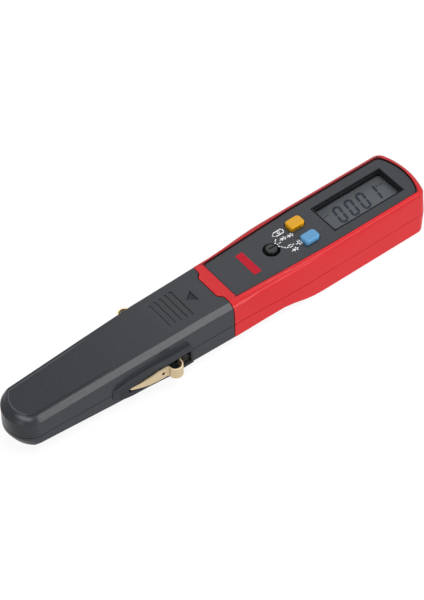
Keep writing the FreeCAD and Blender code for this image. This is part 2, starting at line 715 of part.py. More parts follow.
def knob():
    """Knob with a bevelled top, an engraved pointer line, a retaining flange and a spindle."""
    flange = cylinder(3.9, KNOB_X, 0, 16.3, 17.5)
    grip = cylinder(KNOB_R, KNOB_X, 0, 17.5, KNOB_TOP_Z)
    grip = grip.makeChamfer(0.35, [e for e in grip.Edges if e.BoundBox.ZMin > KNOB_TOP_Z - 0.1])
    pointer = box(KNOB_X - 1.2, KNOB_X + KNOB_R - 0.5, -0.25, 0.25, KNOB_TOP_Z - 0.4, KNOB_TOP_Z + 1)
    spindle = cylinder(1.2, KNOB_X, 0, 13.0, 16.3)
    return fuse(flange, grip, spindle).cut(pointer)


def button(y):
    """Key with softened top edges, a retaining flange and a foot over its contact dome."""
    key = button_block(y, 0, 17.2, BUTTON_TOP_Z)
    key = key.makeChamfer(0.4, [e for e in key.Edges if e.BoundBox.ZMin > BUTTON_TOP_Z - 0.1])
    half_x = BUTTON_SIZE[0] / 2 + 0.9
    half_y = BUTTON_SIZE[1] / 2 + 0.9
    flange = box(BUTTON_X - half_x, BUTTON_X + half_x, y - half_y, y + half_y, 16.6, 17.6)
    foot = box(BUTTON_X - 1.1, BUTTON_X + 1.1, y - 1.1, y + 1.1, BUTTON_FOOT_Z, 16.7)
    return fuse(key, flange, foot)


def contact_domes():
    """Two snap-dome switches on the board under the buttons."""
    domes = []
    for y in (BUTTON_Y, -BUTTON_Y):
        base = box(BUTTON_X - 2.6, BUTTON_X + 2.6, y - 2.6, y + 2.6, BOARD_Z[1], BOARD_Z[1] + 0.5)
        dome = box(BUTTON_X - 1.4, BUTTON_X + 1.4, y - 1.4, y + 1.4, BOARD_Z[1] + 0.5, BOARD_Z[1] + 0.8)
        domes.append(fuse(base, dome))
    return Part.makeCompound(domes)


def coin_cell():
    """Coin cell, 20 mm across and 3.2 mm thick, with its narrower negative face."""
    z0, z1 = CELL_Z
    can = cylinder(CELL_R, CELL_X, 0, z0, z1 - 0.4)
    cap = cylinder(CELL_R - 1.2, CELL_X, 0, z1 - 0.4, z1)
    return fuse(can, cap)


def battery_clip():
    """Sheet holder over the cell: a bridge with legs up to the board and a contact tongue."""
    z = CELL_Z[1]
    top = BOARD_Z[0]
    bridge = box(CELL_X - 5, CELL_X + 5, -10.2, 10.2, z + 1.2, z + 1.5)
    legs = [box(CELL_X - 3, CELL_X + 3, y - 0.15, y + 0.15, z + 1.2, top) for y in (10.05, -10.05)]
    tongue_plate = box(CELL_X - 1.5, CELL_X + 1.5, -3, 3, z, z + 0.3)
    risers = [box(CELL_X - 1.5, CELL_X + 1.5, y - 0.15, y + 0.15, z, z + 1.5) for y in (2.85, -2.85)]
    return fuse(bridge, tongue_plate, *legs, *risers)


def probe_neck():
    """Insulating block that plugs the case's mouth, carries the tweezers and guides the cap."""
    fit = CAP_WALL + NECK_FIT
    plug = cap_form(fit).common(box(NECK_X[0], JOIN_TOP_X - 0.2, -20, 20, 0, 25))
    waist = cap_form(fit).common(box(JOIN_TOP_X - 0.3, JOIN_SIDE_X + 0.4, -20, 20, 0, TOP_Z - CASE_TOP_WALL - 0.1))
    flange = case_hollow(-7.0, CASE_WALL + 0.03, CASE_TOP_WALL + 0.03)
    flange = flange.common(box(JOIN_SIDE_X + 0.35, NECK_X[1], -20, 20, 0, 25))
    block = fuse(plug, waist, flange)
    reach = ARM_T / 2 + ARM_SLOT_CLEAR
    for side in (1, -1):
        y = side * ARM_ROOT_Y
        block = block.cut(box(NECK_X[0] - 1, ARM_ROOT_X + 0.6, y - reach, y + reach,
                              ARM_Z - ARM_H / 2 - 0.4, ARM_Z + ARM_H / 2 + 0.4))
    relief = box(NECK_X[0] - 1, NECK_X[0] + 6, -ARM_ROOT_Y + reach + 1, ARM_ROOT_Y - reach - 1,
                 ARM_Z - ARM_H / 2, ARM_Z + ARM_H / 2)
    return block.cut(relief)


def arm_solid():
    """One tweezer arm on the +Y side: a bowed flat spring, tapering in height to its tip."""
    z = ARM_Z
    bow = Part.BSplineCurve()
    bow.interpolate([V(-15.0, ARM_ROOT_Y, z), V(-32.0, 6.7, z), V(-50.0, 6.7, z), V(-68.0, 4.6, z),
                     V(ARM_TIP_X, ARM_TIP_Y, z)],
                    InitialTangent=V(-1, 0, 0), FinalTangent=V(-1, -0.08, 0))
    path = Part.Wire([Part.makeLine(V(ARM_ROOT_X, ARM_ROOT_Y, z), V(-15.0, ARM_ROOT_Y, z)), bow.toShape()])
    y0 = ARM_ROOT_Y - ARM_T / 2
    y1 = ARM_ROOT_Y + ARM_T / 2
    z0 = z - ARM_H / 2
    z1 = z + ARM_H / 2
    x = ARM_ROOT_X
    profile = Part.makePolygon([V(x, y0, z0), V(x, y1, z0), V(x, y1, z1), V(x, y0, z1), V(x, y0, z0)])
    arm = path.makePipeShell([profile], True, False)
    tip_h = ARM_TIP_H / 2
    taper = Part.Face(Part.makePolygon([
        V(10, 0, z0 - 1), V(10, 0, z1 + 1), V(-52, 0, z1 + 0.01), V(-76, 0, z + tip_h + 0.7),
        V(-90, 0, z + tip_h), V(-90, 0, z - tip_h), V(-76, 0, z - tip_h - 0.7), V(-52, 0, z0 - 0.01),
        V(10, 0, z0 - 1)])).extrude(V(0, 15, 0))
    return arm.common(taper)


def grip_solid(arm):
    """Plastic finger grip on the outside of the arm, ribbed across."""
    x0, x1 = GRIP_X
    z0 = ARM_Z - ARM_H / 2 + 0.2
    z1 = ARM_Z + ARM_H / 2 - 0.2
    plan = Part.Wire([
        Part.Arc(V(x1, 6.6, z0), V((x0 + x1) / 2, GRIP_Y, z0), V(x0, 6.6, z0)).toShape(),
        Part.makeLine(V(x0, 6.6, z0), V(x0, 5.8, z0)),
        Part.makeLine(V(x0, 5.8, z0), V(x1, 5.8, z0)),
        Part.makeLine(V(x1, 5.8, z0), V(x1, 6.6, z0)),
    ])
    pad = Part.Face(plan).extrude(V(0, 0, z1 - z0))
    pad = pad.cut(arm)
    pieces = sorted(pad.Solids, key=lambda s: s.CenterOfMass.y)
    pad = pieces[-1]
    for i in range(5):
        x = (x0 + x1) / 2 - 6.0 + i * 3.0
        pad = pad.cut(box(x - 0.4, x + 0.4, GRIP_Y - 0.45, GRIP_Y + 1, z0 - 1, z1 + 1))
    return pad


def export(name, shape):
    solids = shape.Solids
    clean = solids[0] if len(solids) == 1 else Part.makeCompound(solids)
    print("%-22s solids %d valid %s volume %.1f" % (name, len(solids), clean.isValid(), clean.Volume))
    clean.exportStep("parts/%s.step" % name)


def main():
    os.makedirs("parts", exist_ok=True)
    cap_top, cap_bottom = cap_halves()
    shell = case_shell()
    arm = arm_solid()
    grip = grip_solid(arm)
    strip = terminal()
    screw = terminal_screw()
    pieces = {
        "cap_upper": cap_top,
        "cap_lower": cap_bottom,
        "left_terminal": strip,
        "right_terminal": mirrored_y(strip),
        "terminal_screws": Part.makeCompound([screw, mirrored_y(screw)]),
        "upper_case": upper_case(shell),
        "lower_case": lower_case(shell),
        "control_panel": control_panel(),
        "display_frame": display_frame(),
        "display_lens": display_lens(),
        "display_glass": display_glass(),
        "contact_strips": contact_strips(),
        "circuit_board": circuit_board(),
        "main_chip": main_chip(),
        "buzzer": buzzer(),
        "rotary_switch": rotary_switch(),
        "contact_domes": contact_domes(),
        "range_knob": knob(),
        "yellow_button": button(BUTTON_Y),
        "blue_button": button(-BUTTON_Y),
        "coin_cell": coin_cell(),
        "battery_clip": battery_clip(),
        "battery_cover": battery_cover(),
        "battery_cover_screw": cover_screw(),
        "case_screw": case_screw(),
        "probe_neck": probe_neck(),
        "left_tweezer": arm,
        "right_tweezer": mirrored_y(arm),
        "left_grip": grip,
        "right_grip": mirrored_y(grip),
    }
    for name, shape in pieces.items():
        export(name, shape)


main()
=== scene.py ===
"""Looks for the pen-shaped component tester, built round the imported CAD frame.

Positions and sizes on the tester are in millimetres and turned into metres by MM. Lamps and the
floor are in metres, and the scales of patches and grains are per metre.
"""
import json
import math
import bpy
from mathutils import Matrix, Vector

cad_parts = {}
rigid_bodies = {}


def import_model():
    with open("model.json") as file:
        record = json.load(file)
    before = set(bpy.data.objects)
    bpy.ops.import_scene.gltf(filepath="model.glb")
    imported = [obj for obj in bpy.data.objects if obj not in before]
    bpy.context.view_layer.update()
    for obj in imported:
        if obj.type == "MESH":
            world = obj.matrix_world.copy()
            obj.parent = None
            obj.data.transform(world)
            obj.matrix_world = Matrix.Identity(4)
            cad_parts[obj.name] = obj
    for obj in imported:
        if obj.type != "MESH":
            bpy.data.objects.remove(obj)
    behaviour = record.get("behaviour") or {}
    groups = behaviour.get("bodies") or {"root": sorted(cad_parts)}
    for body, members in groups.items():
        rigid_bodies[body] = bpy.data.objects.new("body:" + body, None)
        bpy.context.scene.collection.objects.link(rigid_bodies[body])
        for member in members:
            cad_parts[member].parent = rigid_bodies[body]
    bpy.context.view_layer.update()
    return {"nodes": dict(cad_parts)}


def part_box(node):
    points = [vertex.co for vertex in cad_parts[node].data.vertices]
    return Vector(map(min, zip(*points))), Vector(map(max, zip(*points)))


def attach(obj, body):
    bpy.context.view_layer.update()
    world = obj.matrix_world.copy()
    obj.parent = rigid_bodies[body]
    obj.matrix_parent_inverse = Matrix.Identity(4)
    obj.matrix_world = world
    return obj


for stray in list(bpy.data.objects):
    bpy.data.objects.remove(stray)

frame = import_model()
nodes = frame["nodes"]
MM = 0.001


# ---------------------------------------------------------------- view

CAMERA_TARGET = (-5.57, -5.59, 20.6)
CAMERA_DISTANCE = 803.2
# Azimuth, elevation and roll in degrees
CAMERA_ANGLES = (-125.98, 48.67, -2.34)


def new_object(name, data):
    """Object for some data, put in the scene."""
    made = bpy.data.objects.new(name, data)
    bpy.context.scene.collection.objects.link(made)
    return made


def add_camera():
    target = Vector(CAMERA_TARGET) * MM
    azimuth, elevation, roll = (math.radians(angle) for angle in CAMERA_ANGLES)
    back = Vector((math.cos(elevation) * math.cos(azimuth),
                   math.cos(elevation) * math.sin(azimuth), math.sin(elevation)))
    right = (-back).cross(Vector((0, 0, 1))).normalized()
    up = right.cross(-back)
    tilted_right = right * math.cos(roll) + up * math.sin(roll)
    tilted_up = up * math.cos(roll) - right * math.sin(roll)
    data = bpy.data.cameras.new("camera")
    data.lens = 142.09
    data.sensor_width = 36.0
    data.clip_start = 0.05
    data.clip_end = 20.0
    camera = new_object("camera", data)
    axes = Matrix((tilted_right, tilted_up, back)).transposed()
    camera.matrix_world = (Matrix.Translation(target + back * CAMERA_DISTANCE * MM)
                           @ axes.to_4x4())
    bpy.context.scene.camera = camera


def add_lamp(name, place, aim, size, watts):
    """Rectangular lamp at a place, turned toward a point."""
    data = bpy.data.lights.new(name, "AREA")
    data.shape = "RECTANGLE"
    data.size, data.size_y = size
    data.energy = watts
    lamp = new_object(name, data)
    lamp.location = place
    lamp.rotation_euler = (Vector(aim) - Vector(place)).to_track_quat("-Z", "Y").to_euler()


def seen_directly(tree, kinds):
    """Socket that is 1 for the given kinds of Light Path ray and 0 for every other."""
    path = tree.nodes.new("ShaderNodeLightPath")
    seen = path.outputs[kinds[0]]
    for kind in kinds[1:]:
        either = tree.nodes.new("ShaderNodeMath")
        either.operation = "MAXIMUM"
        tree.links.new(seen, either.inputs[0])
        tree.links.new(path.outputs[kind], either.inputs[1])
        seen = either.outputs[0]
    return seen


def light_node(tree, kind, strength):
    """White Background or Emission node."""
    node = tree.nodes.new(kind)
    node.inputs["Color"].default_value = (1, 1, 1, 1)
    node.inputs["Strength"].default_value = strength
    return node


def mix_shaders(tree, factor, first, second):
    """Mix Shader node; the factor is a socket or a number."""
    node = tree.nodes.new("ShaderNodeMixShader")
    if isinstance(factor, bpy.types.NodeSocket):
        tree.links.new(factor, node.inputs[0])
    else:
        node.inputs[0].default_value = factor
    tree.links.new(first.outputs[0], node.inputs[1])
    tree.links.new(second.outputs[0], node.inputs[2])
    return node


def add_world(ambient):
    """White where the camera, reflections and clear parts look, and a grey fill light elsewhere."""
    world = bpy.data.worlds.new("studio")
    world.use_nodes = True
    tree = world.node_tree
    tree.nodes.clear()
    fill = light_node(tree, "ShaderNodeBackground", ambient)
    white = light_node(tree, "ShaderNodeBackground", 1.0)
    seen = seen_directly(tree, ("Is Camera Ray", "Is Glossy Ray", "Is Transmission Ray"))
    mix = mix_shaders(tree, seen, fill, white)
    out = tree.nodes.new("ShaderNodeOutputWorld")
    tree.links.new(mix.outputs[0], out.inputs["Surface"])
    bpy.context.scene.world = world


def add_floor(glow, share):
    """Pale floor that stays white to the camera and takes a faint shadow.

    Share is how much of what the camera and reflections see is glow, which takes no shadow.
    """
    half = 2.0
    dark, pale = 0.46, 0.48
    mesh = bpy.data.meshes.new("floor")
    corners = [(-half, -half, 0), (half, -half, 0), (half, half, 0), (-half, half, 0)]
    mesh.from_pydata(corners, [], [(0, 1, 2, 3)])
    floor = new_object("floor", mesh)
    material = bpy.data.materials.new("floor_paper")
    material.use_nodes = True
    tree = material.node_tree
    tree.nodes.clear()
    where = tree.nodes.new("ShaderNodeTexCoord")
    grain = tree.nodes.new("ShaderNodeTexNoise")
    grain.inputs["Scale"].default_value = 60.0
    tone = tree.nodes.new("ShaderNodeMix")
    tone.data_type = "RGBA"
    tone.inputs["A"].default_value = (dark, dark, dark, 1)
    tone.inputs["B"].default_value = (pale, pale, pale, 1)
    paper = tree.nodes.new("ShaderNodeBsdfDiffuse")
    tree.links.new(where.outputs["Object"], grain.inputs["Vector"])
    tree.links.new(grain.outputs[0], tone.inputs["Factor"])
    tree.links.new(tone.outputs["Result"], paper.inputs["Color"])
    lifted = mix_shaders(tree, share, paper, light_node(tree, "ShaderNodeEmission", glow))
    seen = seen_directly(tree, ("Is Camera Ray", "Is Glossy Ray"))
    mix = mix_shaders(tree, seen, paper, lifted)
    out = tree.nodes.new("ShaderNodeOutputMaterial")
    tree.links.new(mix.outputs[0], out.inputs["Surface"])
    floor.data.materials.append(material)


# ---------------------------------------------------------------- materials

# Black of printed ink, also painted as shade on the walls of the display window
BLACK_INK_AND_SHADE = (0.006, 0.007, 0.009)
ROUGH_SPREAD = 0.05
GRAIN_DEPTH = 0.00003


class Finish:
    """One node material: colour that varies a little, roughness that varies, and a fine grain."""

    def __init__(self, name, colour, rough, metallic=0.0, specular=0.5, tint=0.06, patch=90.0,
                 grain=2600.0, relief=0.15):
        """Tint is how far the colour varies, over patches; relief is how strong the grain is."""
        self.material = bpy.data.materials.new(name)
        self.material.use_nodes = True
        self.tree = self.material.node_tree
        self.shader = self.tree.nodes["Principled BSDF"]
        self.shader.inputs["Metallic"].default_value = metallic
        self.shader.inputs["Specular IOR Level"].default_value = specular
        self.where = self.tree.nodes.new("ShaderNodeTexCoord").outputs["Object"]
        cloud = self.noise(patch, 3.0)
        low = [c * (1 - tint) for c in colour] + [1]
        high = [c * (1 + tint) for c in colour] + [1]
        self.set_colour(self.mix(cloud, low, high))
        streak = self.noise(patch * 5, 4.0)
        self.set_rough(self.map_range(streak, rough - ROUGH_SPREAD, rough + ROUGH_SPREAD,
                                      (0.3, 0.7)))
        self.add_bump(self.noise(grain, 2.0), relief, GRAIN_DEPTH)

    def link(self, value, socket):
        """Feeds a socket from another socket, or sets it to a plain value."""
        if isinstance(value, bpy.types.NodeSocket):
            self.tree.links.new(value, socket)
        else:
            socket.default_value = value

    def set_colour(self, socket):
        self.colour = socket
        self.link(socket, self.shader.inputs["Base Color"])

    def set_rough(self, socket):
        self.rough = socket
        self.link(socket, self.shader.inputs["Roughness"])

    def add_bump(self, height, strength, distance):
        """Bump over the one that is there, if any."""
        bump = self.tree.nodes.new("ShaderNodeBump")
        bump.inputs["Strength"].default_value = strength
        bump.inputs["Distance"].default_value = distance
        self.link(height, bump.inputs["Height"])
        for older in self.shader.inputs["Normal"].links:
            self.link(older.from_socket, bump.inputs["Normal"])
        self.link(bump.outputs["Normal"], self.shader.inputs["Normal"])

    def noise(self, scale, detail):
        node = self.tree.nodes.new("ShaderNodeTexNoise")
        node.inputs["Scale"].default_value = scale
        node.inputs["Detail"].default_value = detail
        self.link(self.where, node.inputs["Vector"])
        return node.outputs[0]

    def mix(self, factor, a, b, kind="RGBA"):
        node = self.tree.nodes.new("ShaderNodeMix")
        node.data_type = kind
        sockets = [s for s in node.inputs if s.enabled]
        for value, socket in zip((factor, a, b), sockets):
            self.link(value, socket)
        return [s for s in node.outputs if s.enabled][0]

    def map_range(self, value, low, high, source):
        """Socket that goes from low to high as value crosses source, and is level past it."""
        node = self.tree.nodes.new("ShaderNodeMapRange")
        node.inputs["From Min"].default_value, node.inputs["From Max"].default_value = source
        node.inputs["To Min"].default_value = low
        node.inputs["To Max"].default_value = high
        self.link(value, node.inputs["Value"])
        return node.outputs["Result"]

    def math(self, operation, a, b=0.0):
        node = self.tree.nodes.new("ShaderNodeMath")
        node.operation = operation
        for value, socket in zip((a, b), node.inputs):
            self.link(value, socket)
        return node.outputs[0]

    def every(self, *masks):
        """Socket that is 1 where all of the masks are."""
        inside = masks[0]
        for mask in masks[1:]:
            inside = self.math("MULTIPLY", inside, mask)
        return inside

    def part_of(self, limits, soft=0.05):
        """Mask inside low and high limits on axes, in millimetres; the y limits hold for |y|."""
        split = self.tree.nodes.new("ShaderNodeSeparateXYZ")
        self.link(self.where, split.inputs[0])
        x, y, z = split.outputs
        sides = {"x": x, "y": self.math("ABSOLUTE", y), "z": z}
        steps = []
        for axis, low, high in limits:
            for edge, ends in ((low, (0.0, 1.0)), (high, (1.0, 0.0))):
                if edge is not None:
                    band = ((edge - soft) * MM, (edge + soft) * MM)
                    steps.append(self.map_range(sides[axis], *ends, band))
        return self.every(*steps)

    def measure(self):
        """Keeps plan position and height as sockets in millimetres: x, y, side (|y|) and z."""
        scaled = self.tree.nodes.new("ShaderNodeVectorMath")
        scaled.operation = "SCALE"
        scaled.inputs["Scale"].default_value = 1 / MM
        self.link(self.where, scaled.inputs[0])
        split = self.tree.nodes.new("ShaderNodeSeparateXYZ")
        self.link(scaled.outputs[0], split.inputs[0])
        self.x, self.y, self.z = split.outputs
        self.side = self.math("ABSOLUTE", self.y)

    def ramp(self, value, start, end, full=1.0):
        """Socket that climbs from 0 at start to full at end, in either order."""
        if start > end:
            return self.map_range(value, full, 0.0, (end, start))
        return self.map_range(value, 0.0, full, (start, end))

    def past_arc(self, x0, radius, way):
        """Distance in millimetres outside an arc about (x0, 0) that bulges to +x or -x, as way is
        1 or -1. It is far below 0 on the other side of x0."""
        along = self.math("SUBTRACT", self.x, x0)
        square = self.math("ADD", self.math("MULTIPLY", along, along),
                           self.math("MULTIPLY", self.y, self.y))
        past = self.math("SUBTRACT", self.math("SQRT", square), radius)
        blend, drop = 2.0, 99.0
        return self.math("SUBTRACT", past, self.ramp(along, way * blend, 0.0, drop))

    def line_mask(self, distance, width, soft=0.12):
        """Mask within half a width of the zero of a distance socket."""
        return self.ramp(self.math("ABSOLUTE", distance), width / 2 + soft, width / 2 - soft)

    def repaint(self, inside, colour, rough):
        """Gives the part of the surface picked out by a mask its own colour and roughness."""
        self.set_colour(self.mix(inside, self.colour, list(colour) + [1]))
        self.set_rough(self.mix(inside, self.rough, rough, "FLOAT"))


def cap_finish():
    """Matte black-grey with painted light on the thumb grooves, painted shade in the sunk arrow,
    and dark guards.
    """
    cap = Finish("cap_plastic_matte", (0.0365, 0.0405, 0.0465), 0.30, specular=0.14, tint=0.20,
                 patch=1300.0, relief=0.35)
    # The grooves and the arrow are sunk, and their heights leave out the face of the top
    grooves = cap.part_of([("z", 19.7, 20.42), ("x", -25.2, -13.4), ("y", None, 7.5)])
    # Painted light: the groove walls and floors are paler, which lifts their shade
    cap.repaint(grooves, (0.060, 0.064, 0.070), 0.5)
    arrow = cap.part_of([("z", 19.7, 20.35), ("x", -12.8, -8.6), ("y", None, 2.9)])
    # Painted shade: the sunk arrow is darker
    cap.repaint(arrow, (0.020, 0.024, 0.034), 0.5)
    guards = cap.part_of([("x", -52.0, -19.6), ("y", 11.6, None), ("z", 6.0, 14.2)])
    cap.repaint(guards, (0.030, 0.033, 0.038), 0.62)
    add_cap_step(cap)
    return cap


def add_cap_step(cap):
    """Fine step just inside the edge of the cap's top, and the highlight on its tip.

    The step's light and shade are painted: a painted highlight on its far side and round the tip,
    and painted shade on its near side.
    """
    tip_centre, step_radius, crest_radius = -74.5, 9.4, 10.55
    half_at_origin, spread = 9.54, 0.0345
    cap.measure()
    half = cap.math("ADD", cap.math("MULTIPLY", cap.x, spread), half_at_origin)
    outside = cap.math("MAXIMUM", cap.math("SUBTRACT", cap.side, half),
                       cap.past_arc(tip_centre, step_radius, -1))
    on_top = cap.ramp(cap.z, 17.2, 17.5)
    toward_tip = cap.ramp(cap.x, -46.0, -56.0)
    step = cap.every(cap.line_mask(outside, 0.35), on_top, toward_tip)
    far, near = cap.ramp(cap.y, -6.0, -5.0), cap.ramp(cap.y, -5.0, -6.0)
    # Painted highlight on the far side of the step, and painted shade on its near side
    cap.repaint(cap.every(step, far), (0.095, 0.100, 0.110), 0.4)
    cap.repaint(cap.every(step, near), (0.012, 0.014, 0.017), 0.5)
    # Painted highlight along the crest of the tip's edge, on the near side only
    crest = cap.every(cap.line_mask(cap.past_arc(tip_centre, crest_radius, -1), 0.75, 0.3),
                      cap.ramp(cap.z, 15.5, 16.5), cap.ramp(cap.y, -2.0, -4.5),
                      cap.ramp(cap.y, -8.2, -7.0))
    cap.repaint(crest, (0.14, 0.145, 0.155), 0.35)


def panel_finish():
    """Matte panel, with painted shade in black on the walls of its window."""
    panel = Finish("panel_plastic_matte", (0.037, 0.0405, 0.047), 0.45, specular=0.20, tint=0.20,
                   patch=1500.0, relief=0.35)
    x0, x1, half = window_limits()
    reach, below_face = 0.3, 20.17
    # Painted shade: the walls of the window and the lower part of their rounded lip are black
    wall = panel.part_of([("x", x0 - reach, x1 + reach), ("y", None, half + reach),
                          ("z", None, below_face)])
    panel.repaint(wall, BLACK_INK_AND_SHADE, 0.6)
    return panel


def recess_finish():
    """Wall between the panel and the display, black along its foot."""
    recess = Finish("recess_grey", (0.026, 0.029, 0.034), 0.50, specular=0.15, tint=0.12)
    foot = recess.part_of([("z", None, 17.5)])
    recess.repaint(foot, BLACK_INK_AND_SHADE, 0.6)
    return recess


def red_finish():
    """Satin red with painted shade as a dark gap round the panel, and a rim shaded as a rounded
    one.
    """
    red = Finish("red_plastic_satin", (0.61, 0.017, 0.022), 0.38, specular=0.18, tint=0.04,
                 relief=0.12)
    red.measure()
    # The panel's half width goes from 9.4 at its front end to 11.0, and its rear end is an arc
    half = red.map_range(red.x, 9.4, 11.0, (1.8, 41.5))
    outside = red.math("MAXIMUM", red.math("SUBTRACT", red.side, half),
                       red.past_arc(62.8, 22.0, 1))
    # The painted shade of the gap is narrower on the near side
    narrower = red.ramp(red.y, 2.0, -2.0, 0.14)
    gap_shade = red.every(red.ramp(red.math("ADD", outside, narrower), 0.32, 0.20),
                    red.ramp(outside, -0.6, -0.4), red.ramp(red.x, 1.2, 1.8),
                    red.ramp(red.z, 19.6, 19.9))
    red.repaint(gap_shade, (0.05, 0.006, 0.008), 0.5)
    # The rim falls away as a parabola, in metres of height for millimetres of width
    rim_width, fall = 1.8, -0.00023
    across = red.math("MINIMUM", red.math("MAXIMUM", outside, 0.0), rim_width)
    height = red.math("MULTIPLY", red.math("MULTIPLY", across, across), fall)
    red.add_bump(height, 1.0, 1.0)
    return red


# For each CAD material and drawn mark: name, colour, roughness and what else differs
PLAIN_FINISHES = {
    "knob_plastic": ("knob_plastic_black", (0.016, 0.017, 0.018), 0.34,
                     dict(specular=0.25, tint=0.12)),
    "chip_plastic": ("chip_plastic_black", (0.02, 0.02, 0.022), 0.5, {}),
    "yellow_key": ("key_yellow", (0.70, 0.345, 0.006), 0.40,
                   dict(specular=0.25, tint=0.06, patch=500.0)),
    "blue_key": ("key_blue", (0.112, 0.318, 0.565), 0.40,
                 dict(specular=0.25, tint=0.06, patch=500.0)),
    "board": ("board_green", (0.02, 0.16, 0.06), 0.35, dict(tint=0.15)),
    "rubber": ("contact_rubber", (0.03, 0.03, 0.03), 0.7, dict(tint=0.15)),
    "display": ("display_polariser", (0.118, 0.130, 0.137), 0.50,
                dict(specular=0.1, tint=0.05, patch=160.0, grain=900.0, relief=0.02)),
    "ink_black": ("ink_black", BLACK_INK_AND_SHADE, 0.60, dict(specular=0.05, tint=0.10)),
    "brass": ("brass_bright", (0.62, 0.49, 0.31), 0.34,
              dict(metallic=0.85, tint=0.08, grain=1400.0, relief=0.10)),
    "steel": ("steel_plated", (0.60, 0.60, 0.60), 0.30,
              dict(metallic=1.0, tint=0.06, grain=1400.0, relief=0.10)),
    "screw": ("screw_blackened", (0.030, 0.026, 0.022), 0.35,
              dict(metallic=1.0, tint=0.10, grain=1400.0)),
    "clear": ("lens_clear", (0.20, 0.21, 0.22), 0.40,
              dict(specular=0.05, tint=0.02, grain=60.0, relief=0.0)),
    "ink_white": ("ink_white", (0.86, 0.87, 0.88), 0.5,
                  dict(specular=0.30, tint=0.04, patch=900.0, relief=0.1)),
    "badge_red": ("badge_red", (0.50, 0.010, 0.026), 0.45,
                  dict(specular=0.10, tint=0.05, relief=0.1)),
    "segments": ("segments_dark", (0.036, 0.043, 0.060), 0.6,
                 dict(specular=0.05, tint=0.08, patch=600.0, grain=900.0, relief=0.02)),
}

LENS_ALPHA = 0.06
# Nodes that take another finish than their CAD material's
NODE_FINISHES = {"terminal_screws": "screw", "display_frame": "recess"}


def make_finishes():
    made = {key: Finish(name, colour, rough, **extras)
            for key, (name, colour, rough, extras) in PLAIN_FINISHES.items()}
    made.update(cap_plastic=cap_finish(), red_plastic=red_finish(),
                panel_plastic=panel_finish(), recess=recess_finish())
    made["clear"].shader.inputs["Alpha"].default_value = LENS_ALPHA
    return made


def paint_nodes(finishes):
    for name, node in nodes.items():
        for slot in node.material_slots:
            key = NODE_FINISHES.get(name, slot.material.name.split(".")[0])
            slot.link = "OBJECT"
            slot.material = finishes[key].material


# ---------------------------------------------------------------- softened edges

SHARP_ANGLE = math.radians(29)
JOIN_DISTANCE = 1e-6


def shading_group():
    """Node group that joins split corners and shades smooth across all but sharp edges."""
    group = bpy.data.node_groups.new("shade_by_angle", "GeometryNodeTree")
    for way in ("INPUT", "OUTPUT"):
        group.interface.new_socket("Geometry", in_out=way, socket_type="NodeSocketGeometry")
    start = group.nodes.new("NodeGroupInput")
    merge = group.nodes.new("GeometryNodeMergeByDistance")
    merge.inputs["Distance"].default_value = JOIN_DISTANCE
    plain = group.nodes.new("GeometryNodeRemoveAttribute")
    plain.inputs["Name"].default_value = "custom_normal"
    smooth = group.nodes.new("GeometryNodeSetShadeSmooth")
    unmark = group.nodes.new("GeometryNodeSetShadeSmooth")
    unmark.domain = "EDGE"
    angle = group.nodes.new("GeometryNodeInputMeshEdgeAngle")
    steep = group.nodes.new("FunctionNodeCompare")
    steep.operation = "GREATER_THAN"
    steep.inputs["B"].default_value = SHARP_ANGLE
    mark = group.nodes.new("GeometryNodeSetShadeSmooth")
    mark.domain = "EDGE"
    mark.inputs["Shade Smooth"].default_value = False
    end = group.nodes.new("NodeGroupOutput")
    chain = [start, merge, plain, smooth, unmark, mark, end]
    for left, right in zip(chain, chain[1:]):
        group.links.new(left.outputs[0], right.inputs[0])
    group.links.new(angle.outputs["Unsigned Angle"], steep.inputs["A"])
    group.links.new(steep.outputs[0], mark.inputs["Selection"])
    return group


# Nodes whose small facets are shaded smooth, and the width of their rounded edges
EDGE_WIDTHS = {
    "cap_upper": 0.25, "cap_lower": 0.2, "upper_case": 0.2, "lower_case": 0.2,
    "control_panel": 0.25, "battery_cover": 0.1, "range_knob": 0.1, "yellow_button": 0.2,
    "blue_button": 0.2, "left_terminal": 0.0, "right_terminal": 0.0,
}


def soften(widths):
    """Shades nodes by angle and rounds their edges, where a width is given."""
    group = shading_group()
    for name, width in widths.items():
        node = nodes[name]
        shade = node.modifiers.new("shade", "NODES")
        shade.node_group = group
        if width:
            bevel = node.modifiers.new("edges", "BEVEL")
            bevel.width = width * MM
            bevel.segments = 2
            bevel.limit_method = "ANGLE"
            bevel.angle_limit = SHARP_ANGLE
            weigh = node.modifiers.new("weigh", "WEIGHTED_NORMAL")
            weigh.keep_sharp = True


# ---------------------------------------------------------------- drawn marks

def plate_piece(name, outlines, z, thick, body, material):
    """Piece on a body and slot: thin flat plates on height z, each a convex outline in plan.

    The height is in metres; the plan points and the thickness are in millimetres.
    """
    points = []
    faces = []
    for outline in outlines:
        first = len(points)
        count = len(outline)
        points += [(x * MM, y * MM, z) for x, y in outline]
        points += [(x * MM, y * MM, z + thick * MM) for x, y in outline]
        faces.append([first + count + i for i in range(count)])
        faces.append([first + i for i in reversed(range(count))])
        for i in range(count):
            j = (i + 1) % count
            faces.append([first + i, first + j, first + count + j, first + count + i])
    mesh = bpy.data.meshes.new(name)
    mesh.from_pydata(points, [], faces)
    mesh.validate()
    piece = new_object(name, mesh)
    piece.data.materials.append(material)
    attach(piece, body)


def stroke(start, end, width):
    """Rectangle in plan along a line, with square ends that reach half a width past it."""
    (x0, y0), (x1, y1) = start, end
    length = math.hypot(x1 - x0, y1 - y0)
    ux, uy = (x1 - x0) / length * width / 2, (y1 - y0) / length * width / 2
    return [(x1 + ux + uy, y1 + uy - ux), (x1 + ux - uy, y1 + uy + ux),
            (x0 - ux - uy, y0 - uy + ux), (x0 - ux + uy, y0 - uy - ux)]


